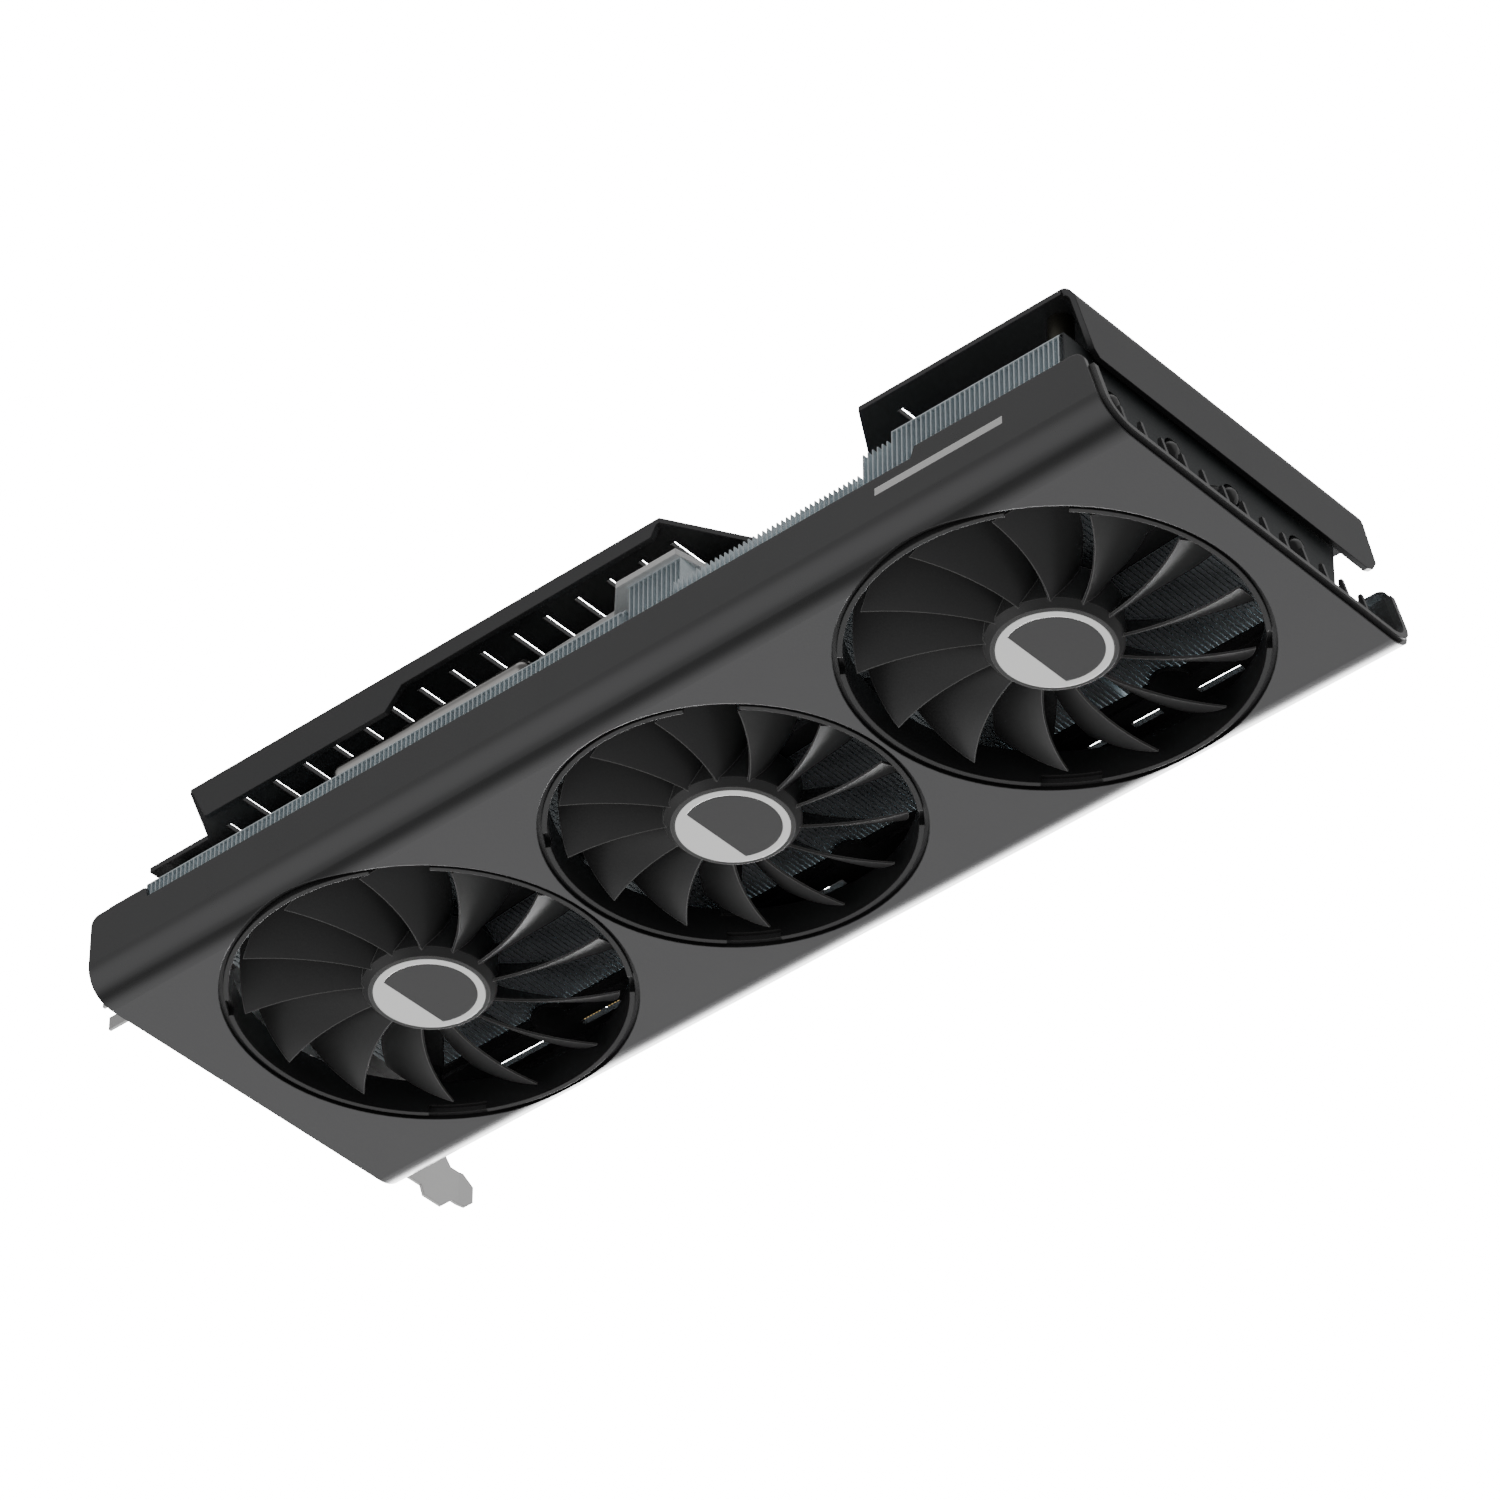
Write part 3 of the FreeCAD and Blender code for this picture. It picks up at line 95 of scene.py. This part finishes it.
# ---- node helpers ----
class Nodes:
    """A node tree with short calls to add and join nodes."""

    def __init__(self, tree):
        self.tree = tree
        self.shader = None      # the material's shader, for paint that changes more than colour
        tree.nodes.clear()

    def add(self, kind, **values):
        node = self.tree.nodes.new(kind)
        for name, value in values.items():
            setattr(node, name, value)
        return node

    def link(self, source, target):
        self.tree.links.new(source, target)

    def math(self, operation, a, b=None):
        node = self.add("ShaderNodeMath", operation=operation)
        for socket, value in zip(node.inputs, (a, b)):
            if value is None:
                continue
            if isinstance(value, (int, float)):
                socket.default_value = value
            else:
                self.link(value, socket)
        return node.outputs[0]

    def span(self, value, from_min, from_max, to_min, to_max, smooth=False):
        node = self.add("ShaderNodeMapRange")
        if smooth:
            node.interpolation_type = "SMOOTHSTEP"
        self.link(value, node.inputs[0])
        for index, number in zip((1, 2, 3, 4), (from_min, from_max, to_min, to_max)):
            node.inputs[index].default_value = number
        return node.outputs[0]

    def noise(self, vector, scale, detail=3.0):
        node = self.add("ShaderNodeTexNoise")
        node.inputs["Scale"].default_value = scale
        node.inputs["Detail"].default_value = detail
        self.link(vector, node.inputs["Vector"])
        return node.outputs["Fac"]

    def axes(self, vector):
        node = self.add("ShaderNodeSeparateXYZ")
        self.link(vector, node.inputs[0])
        return node.outputs[:3]

    def dot(self, a, b):
        """Dot product of an output with another output or with a fixed vector."""
        node = self.add("ShaderNodeVectorMath", operation="DOT_PRODUCT")
        self.link(a, node.inputs[0])
        if isinstance(b, Vector):
            node.inputs[1].default_value = b
        else:
            self.link(b, node.inputs[1])
        return node.outputs["Value"]

    def rounded(self, radius, samples):
        """Normal that is rounded over the radius at edges, in metres."""
        node = self.add("ShaderNodeBevel", samples=samples)
        node.inputs["Radius"].default_value = radius
        return node.outputs[0]

    def stretch(self, vector, scale):
        node = self.add("ShaderNodeVectorMath", operation="MULTIPLY")
        self.link(vector, node.inputs[0])
        node.inputs[1].default_value = scale
        return node.outputs[0]

    def blend(self, factor, a, b):
        node = self.add("ShaderNodeMix", data_type="RGBA")
        self.link(factor, node.inputs[0])
        colors = [socket for socket in node.inputs if socket.type == "RGBA"]
        for socket, value in zip(colors, (a, b)):
            if isinstance(value, tuple):
                socket.default_value = (*value, 1.0)
            else:
                self.link(value, socket)
        return next(socket for socket in node.outputs if socket.type == "RGBA")


BLOTCH_SCALE, BLOTCH_DETAIL = 60.0, 2.0
MIX_LOW, MIX_HIGH = 0.3, 0.7            # the stretch of the mixed noise that is used
ROUGH_LOW, ROUGH_HIGH = 0.9, 1.12       # roughness at its ends, as a share of the value given
BUMP_DEPTH = 0.05 * MM
CORNER_SAMPLES = 4


def tint(color, factor):
    return tuple(min(1.0, channel * factor) for channel in color)


def surface(name, color, metallic, rough, grain=2500.0, bump=0.10, vary=0.08, streak=(1, 1, 1),
            edge=0.25, paint=None):
    """Principled material: colour and roughness vary softly, a fine grain makes the bump, and
    corners catch the light over the edge radius, in millimetres. Paint, if given, changes the
    colour by place."""
    material = bpy.data.materials.new(name)
    material.use_nodes = True
    n = Nodes(material.node_tree)
    out = n.add("ShaderNodeOutputMaterial")
    shader = n.shader = n.add("ShaderNodeBsdfPrincipled")
    shader.inputs["Metallic"].default_value = metallic
    place = n.add("ShaderNodeTexCoord").outputs["Object"]
    fine = n.noise(n.stretch(place, streak), grain)
    broad = n.noise(place, BLOTCH_SCALE, BLOTCH_DETAIL)
    mixed = n.math("ADD", n.math("MULTIPLY", fine, 0.5), n.math("MULTIPLY", broad, 0.5))
    factor = n.span(mixed, MIX_LOW, MIX_HIGH, 0.0, 1.0)
    shade = n.blend(factor, tint(color, 1 - vary), tint(color, 1 + vary))
    if paint:
        shade = paint(n, place, shade)
    n.link(shade, shader.inputs["Base Color"])
    roughness = n.span(factor, 0.0, 1.0, rough * ROUGH_LOW, min(1.0, rough * ROUGH_HIGH))
    n.link(roughness, shader.inputs["Roughness"])
    relief = n.add("ShaderNodeBump")
    relief.inputs["Strength"].default_value = bump
    relief.inputs["Distance"].default_value = BUMP_DEPTH
    n.link(fine, relief.inputs["Height"])
    n.link(n.rounded(edge * MM, CORNER_SAMPLES), relief.inputs["Normal"])
    n.link(relief.outputs[0], shader.inputs["Normal"])
    n.link(shader.outputs[0], out.inputs["Surface"])
    return material


# ---- paint: colour that depends on the place on a node; some of it is painted highlight and painted shade ----
BAR_X, BAR_HALF, BAR_Z, BAR_T = 119.0 * MM, 19.0 * MM, 16.5 * MM, 2.2 * MM
BAR_WHITE = (0.98, 0.98, 0.97)
SKIN_REACH = 0.2 * MM                   # the bar stays this close to the outer wall's face
# Painted highlight: a paler line along the sharp edges of the fan blades, where they catch the
# light.
RIM_RADIUS, RIM_SAMPLES = 0.6 * MM, 6
RIM_NONE, RIM_FULL = 0.97, 0.80         # dot of rounded and true normal, from no line to full line
RIM_HIGHLIGHT_GREY = (0.40, 0.40, 0.40)
TAIL_SLANT = 0.27                       # lean of the liner's tail edge, along X for each unit of Z
TAIL_RIM_W, TAIL_RIM_GREY = 1.6 * MM, (0.120, 0.120, 0.121)
TRACK_SCALE, TRACK_GAP, TRACK_COLOR = 160.0, 0.012, (0.05, 0.055, 0.052)
TRACK_OFFSET, TRACK_SQUASH = 0.35, 0.6


def within(n, value, middle, half):
    """1 where the value is closer to the middle than half."""
    return n.math("LESS_THAN", n.math("ABSOLUTE", n.math("SUBTRACT", value, middle)), half)


def stripe(n, place, shade):
    """One plain white bar on the long outer wall, near the tail."""
    x, y, z = n.axes(place)
    inside = n.math("MULTIPLY", within(n, x, BAR_X, BAR_HALF), within(n, z, BAR_Z, BAR_T / 2))
    outer = n.math("LESS_THAN", y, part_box("shroud_cover")[0].y + SKIN_REACH)
    mask = n.math("MULTIPLY", inside, outer)
    metallic = n.shader.inputs["Metallic"]
    n.link(n.span(mask, 0.0, 1.0, metallic.default_value, 0.0), metallic)
    return n.blend(mask, shade, BAR_WHITE)


def painted_rim_highlight(n, place, shade):
    """Painted highlight: paler along sharp edges, where the edges of the blades catch the light.
    """
    flat = n.add("ShaderNodeNewGeometry").outputs["Normal"]
    dot = n.dot(n.rounded(RIM_RADIUS, RIM_SAMPLES), flat)
    return n.blend(n.span(dot, RIM_NONE, RIM_FULL, 0.0, 1.0), shade, RIM_HIGHLIGHT_GREY)


def tail_rim(n, place, shade):
    """The liner's edge is paler where it shows along the tail of the skin."""
    x, y, z = n.axes(place)
    depth = n.math("ADD", x, n.math("MULTIPLY", z, TAIL_SLANT))
    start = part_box("shroud_liner")[1].x - TAIL_RIM_W
    return n.blend(n.math("GREATER_THAN", depth, start), shade, TAIL_RIM_GREY)


def shade_tail_end(node, depth, color):
    """Painted shade that darkens a node over the depth at its tail end, in millimetres, where the
    inside of the tail lies in shade.
    """
    def paint(n, place, shade):
        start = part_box(node)[1].x - depth * MM
        return n.blend(n.math("GREATER_THAN", n.axes(place)[0], start), shade, color)
    return paint


def solder_mask(n, place, shade):
    """Faint tracks under the black mask of the board."""
    brick = n.add("ShaderNodeTexBrick", offset=TRACK_OFFSET, squash=TRACK_SQUASH)
    brick.inputs["Scale"].default_value = TRACK_SCALE
    brick.inputs["Mortar Size"].default_value = TRACK_GAP
    n.link(place, brick.inputs["Vector"])
    return n.blend(brick.outputs["Fac"], shade, TRACK_COLOR)


# ---- finishes, one for each material slot of the record ----
SHROUD_GREY = (0.112, 0.112, 0.114)
DISC_GREY = (0.090, 0.090, 0.091)
FIN_TEAL = (0.80, 0.88, 0.92)
# Painted shade at the tail: the end of the tail fins and the ends of the heat pipes are darkened.
FIN_END_DEPTH, FIN_END_SHADE = 1.2, (0.050, 0.054, 0.056)
PIPE_END_DEPTH, PIPE_END_SHADE = 3.2, (0.08, 0.08, 0.08)
SEAL_BLACK = (0.060, 0.060, 0.061)


def finishes():
    return {
        "cover_grey": surface("cover_grey", SHROUD_GREY, 0.9, 0.30, 3500, 0.06, 0.03, edge=0.35,
                              paint=stripe),
        "liner_black": surface("liner_black", (0.080, 0.080, 0.082), 0.0, 0.48, 1800, 0.15,
                               paint=tail_rim),
        "ring_grey": surface("ring_grey", (0.035, 0.035, 0.036), 0.0, 0.38, 2500, 0.10),
        # the blades carry a painted highlight along their sharp edges
        "rotor_black": surface("rotor_black", (0.092, 0.092, 0.093), 0.0, 0.36, 2200, 0.08,
                               edge=0.3, paint=painted_rim_highlight),
        "hub_silver": surface("hub_silver", (0.93, 0.93, 0.92), 1.0, 0.34, 900, 0.05, 0.03,
                              streak=(1, 12, 1)),
        "fin_metal": surface("fin_metal", FIN_TEAL, 0.20, 0.45, 700, 0.12, 0.10,
                             streak=(1, 0.15, 6)),
        # the pipe ends carry painted shade at the tail
        "pipe_nickel": surface("pipe_nickel", (0.44, 0.43, 0.42), 1.0, 0.22, 800, 0.06, 0.05,
                               paint=shade_tail_end("heat_pipe_1", PIPE_END_DEPTH, PIPE_END_SHADE)),
        "frame_silver": surface("frame_silver", (0.96, 0.96, 0.95), 0.05, 0.55, 1500, 0.12, 0.04),
        "board_black": surface("board_black", (0.014, 0.015, 0.015), 0.0, 0.32, 1200, 0.08,
                               paint=solder_mask),
        "contact_gold": surface("contact_gold", (0.84, 0.60, 0.24), 1.0, 0.26, 1500, 0.04, 0.05),
        "package_green": surface("package_green", (0.03, 0.09, 0.045), 0.0, 0.40, 1500, 0.08),
        "die_glass": surface("die_glass", (0.10, 0.11, 0.13), 0.6, 0.12, 600, 0.02, 0.05),
        "chip_black": surface("chip_black", (0.020, 0.020, 0.021), 0.0, 0.52, 3000, 0.16),
        "choke_grey": surface("choke_grey", (0.11, 0.11, 0.112), 0.1, 0.6, 2500, 0.25),
        "can_silver": surface("can_silver", (0.62, 0.62, 0.61), 1.0, 0.28, 900, 0.05),
        "pad_grey": surface("pad_grey", (0.30, 0.33, 0.37), 0.0, 0.75, 1500, 0.25),
        "socket_black": surface("socket_black", (0.020, 0.020, 0.020), 0.0, 0.42, 2200, 0.12),
        "backplate_black": surface("backplate_black", (0.085, 0.085, 0.087), 0.7, 0.38, 3200, 0.10,
                                   0.04, edge=0.3),
        "screw_black": surface("screw_black", (0.03, 0.03, 0.03), 0.8, 0.38, 1500, 0.10),
        "standoff_dark": surface("standoff_dark", (0.075, 0.07, 0.055), 0.8, 0.36, 1500, 0.10),
        "bracket_steel": surface("bracket_steel", (0.66, 0.66, 0.655), 1.0, 0.34, 1100, 0.10, 0.05,
                                 streak=(1, 0.1, 8)),
        "screw_steel": surface("screw_steel", (0.62, 0.62, 0.62), 1.0, 0.28, 1200, 0.06),
        "socket_shell": surface("socket_shell", (0.5, 0.5, 0.5), 1.0, 0.32, 1200, 0.08),
        "bearing_brass": surface("bearing_brass", (0.55, 0.40, 0.19), 1.0, 0.40, 1500, 0.15),
        "stator_steel": surface("stator_steel", (0.25, 0.25, 0.25), 1.0, 0.42, 900, 0.15,
                                streak=(1, 1, 20)),
        "shaft_steel": surface("shaft_steel", (0.66, 0.66, 0.66), 1.0, 0.16, 900, 0.03),
    }


def dress_nodes(looks):
    """Give every CAD node its slot's finish; the hub discs have their own, and the tail fins have
    their own with painted shade at their tail end.
    """
    disc = surface("disc_grey", DISC_GREY, 0.9, 0.30, 3000, 0.05, 0.02)
    # the tail fins carry painted shade at their tail end
    shaded = surface("tail_fin_metal", FIN_TEAL, 0.35, 0.50, 700, 0.12, 0.10,
                     streak=(1, 0.15, 6), paint=shade_tail_end("tail_fins", FIN_END_DEPTH, FIN_END_SHADE))
    for part in frame["record"]["subparts"]:
        obj = frame["nodes"][part["node"]]
        if part["node"].startswith("hub_disc"):
            look = disc
        elif part["node"] == "tail_fins":
            look = shaded
        else:
            look = looks[part["material_slot"]]
        if not obj.material_slots:
            obj.data.materials.append(look)
        for place in obj.material_slots:
            place.material = look


# ---- pieces made here: springs that replace plain CAD tubes, and a foam strip ----
SPRING_OUT_R, WIRE_R, TURNS = 2.8 * MM, 0.28 * MM, 4.5
TURN_STEPS, WIRE_SIDES = 28, 8

SHELF_Y = 31.0 * MM                     # inner edge of the liner's shelf
SEAL_WIDTH, SEAL_LAP, SEAL_T = 2.6 * MM, 0.4 * MM, 0.7 * MM
SEAL_CELLS = 240
SEAL_WAVE = 0.06 * MM                   # unevenness of the foam's cut edge
WAVE_FINE, WAVE_BROAD = 0.9, 0.23       # turn for each cell, in radians


def make_object(name, mesh, look):
    """Turn a finished bmesh into an object of the scene."""
    bmesh.ops.recalc_face_normals(mesh, faces=mesh.faces)
    data = bpy.data.meshes.new(name)
    mesh.to_mesh(data)
    mesh.free()
    data.materials.append(look)
    obj = bpy.data.objects.new(name, data)
    bpy.context.scene.collection.objects.link(obj)
    return obj


def skin_rings(mesh, rings):
    """Close a row of equal rings of points into a solid with flat ends."""
    for first, second in zip(rings, rings[1:]):
        for k in range(len(first)):
            j = (k + 1) % len(first)
            mesh.faces.new((first[k], second[k], second[j], first[j]))
    mesh.faces.new(rings[0])
    mesh.faces.new(rings[-1][::-1])


def helix_tube(mesh, centre, low_z, high_z):
    """One coil spring as a round wire, closed at both ends, added to a bmesh."""
    radius = SPRING_OUT_R - WIRE_R
    count = int(TURNS * TURN_STEPS)
    height = high_z - low_z - 2 * WIRE_R
    rings = []
    for i in range(count + 1):
        turn = 2 * math.pi * i / TURN_STEPS
        outward = Vector((math.cos(turn), math.sin(turn), 0))
        middle = centre + outward * radius + Vector((0, 0, low_z + WIRE_R + height * i / count))
        ring = []
        for k in range(WIRE_SIDES):
            a = 2 * math.pi * k / WIRE_SIDES
            offset = outward * math.cos(a) + Vector((0, 0, 1)) * math.sin(a)
            ring.append(mesh.verts.new(middle + offset * WIRE_R))
        rings.append(ring)
    skin_rings(mesh, rings)


def add_springs(look):
    """Coil springs under the heads of the four spring screws."""
    low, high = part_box("screw_springs")
    mesh = bmesh.new()
    for x in (low.x + SPRING_OUT_R, high.x - SPRING_OUT_R):
        for y in (low.y + SPRING_OUT_R, high.y - SPRING_OUT_R):
            helix_tube(mesh, Vector((x, y, 0)), low.z, high.z)
    springs = make_object("coil_springs", mesh, look)
    for face in springs.data.polygons:
        face.use_smooth = True
    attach(springs, "card")
    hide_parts("screw_springs")


def add_seal():
    """Foam strip that closes the gap between the liner's shelf and the ends of the fins."""
    look = surface("seal_foam", SEAL_BLACK, 0.0, 0.85, 4000, 0.5, 0.2, edge=0.1)
    z0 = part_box("shroud_liner")[1].z
    x0, x1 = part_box("main_fins")[0].x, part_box("tail_fins")[1].x
    y1 = SHELF_Y + SEAL_LAP
    mesh = bmesh.new()
    rings = []
    for i in range(SEAL_CELLS + 1):
        x = x0 + (x1 - x0) * i / SEAL_CELLS
        wave = SEAL_WAVE * math.sin(i * WAVE_FINE) * math.sin(i * WAVE_BROAD)
        inner, top = y1 - SEAL_WIDTH + wave, z0 + SEAL_T + wave
        rings.append([mesh.verts.new(corner) for corner in (
            (x, inner, z0), (x, y1, z0), (x, y1, top), (x, inner, top))])
    skin_rings(mesh, rings)
    seal = make_object("shelf_seal", mesh, look)
    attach(seal, "card")


# ---- studio: a soft world whose brighter patches act as large light panels ----
BASE_LIGHT = 0.17
BACKDROP = 16.5              # what the camera sees behind the card: plain white
PANELS = (                   # azimuth, elevation, inner and outer angle of the patch, added light
    (-130.0, -36.0, 10, 42, 0.74),      # mirrored in the face round the fans
    (-34.0, -14.0, 14, 42, 0.58),       # in the long bend on the outer side
    (-150.0, 10.0, 9, 24, 16.0),        # in the bend on the side of the edge contacts
    (138.5, 38.9, 26, 66, 0.50),        # in the end plate at the tail
    (10.0, 80.0, 16, 44, 0.80),         # from above
    (-41.5, 38.9, 10, 34, 0.22),        # in the outer wall
)


def add_world():
    world = bpy.data.worlds.new("studio")
    bpy.context.scene.world = world
    world.use_nodes = True
    n = Nodes(world.node_tree)
    ray = n.add("ShaderNodeTexCoord").outputs["Generated"]
    total = None
    for azimuth, elevation, inner, outer, light in PANELS:
        patch = n.span(n.dot(ray, direction(azimuth, elevation)), math.cos(math.radians(outer)),
                       math.cos(math.radians(inner)), 0.0, light, smooth=True)
        total = patch if total is None else n.math("ADD", total, patch)
    total = n.math("ADD", total, BASE_LIGHT)
    lit = n.add("ShaderNodeBackground")
    n.link(total, lit.inputs["Strength"])
    plain = n.add("ShaderNodeBackground")
    plain.inputs["Strength"].default_value = BACKDROP
    for node in (lit, plain):
        node.inputs["Color"].default_value = (1, 1, 1, 1)
    seen = n.add("ShaderNodeLightPath")
    choose = n.add("ShaderNodeMixShader")
    n.link(seen.outputs["Is Camera Ray"], choose.inputs[0])
    n.link(lit.outputs[0], choose.inputs[1])
    n.link(plain.outputs[0], choose.inputs[2])
    out = n.add("ShaderNodeOutputWorld")
    n.link(choose.outputs[0], out.inputs["Surface"])


FLOOR_HALF, FLOOR_DROP = 3.0, 0.1 * MM
FLOOR_PALE = (0.82, 0.82, 0.81)


def add_floor():
    """Pale floor under the card, seen from above only, so that it doesn't hide the fan side."""
    low = cad_box[0][2] - FLOOR_DROP
    corners = [(x * FLOOR_HALF, y * FLOOR_HALF, low)
               for x, y in ((-1, -1), (1, -1), (1, 1), (-1, 1))]
    mesh = bpy.data.meshes.new("floor")
    mesh.from_pydata(corners, [], [(0, 1, 2, 3)])
    floor = bpy.data.objects.new("floor", mesh)
    bpy.context.scene.collection.objects.link(floor)
    floor.visible_shadow = floor.visible_diffuse = floor.visible_glossy = False
    material = bpy.data.materials.new("floor")
    material.use_nodes = True
    n = Nodes(material.node_tree)
    matt = n.add("ShaderNodeBsdfDiffuse")
    matt.inputs["Color"].default_value = (*FLOOR_PALE, 1)
    clear = n.add("ShaderNodeBsdfTransparent")
    side = n.add("ShaderNodeNewGeometry")
    choose = n.add("ShaderNodeMixShader")
    out = n.add("ShaderNodeOutputMaterial")
    n.link(side.outputs["Backfacing"], choose.inputs[0])
    n.link(matt.outputs[0], choose.inputs[1])
    n.link(clear.outputs[0], choose.inputs[2])
    n.link(choose.outputs[0], out.inputs["Surface"])
    mesh.materials.append(material)


add_camera()
add_world()
add_floor()
looks = finishes()
dress_nodes(looks)
add_springs(looks["screw_steel"])
add_seal()
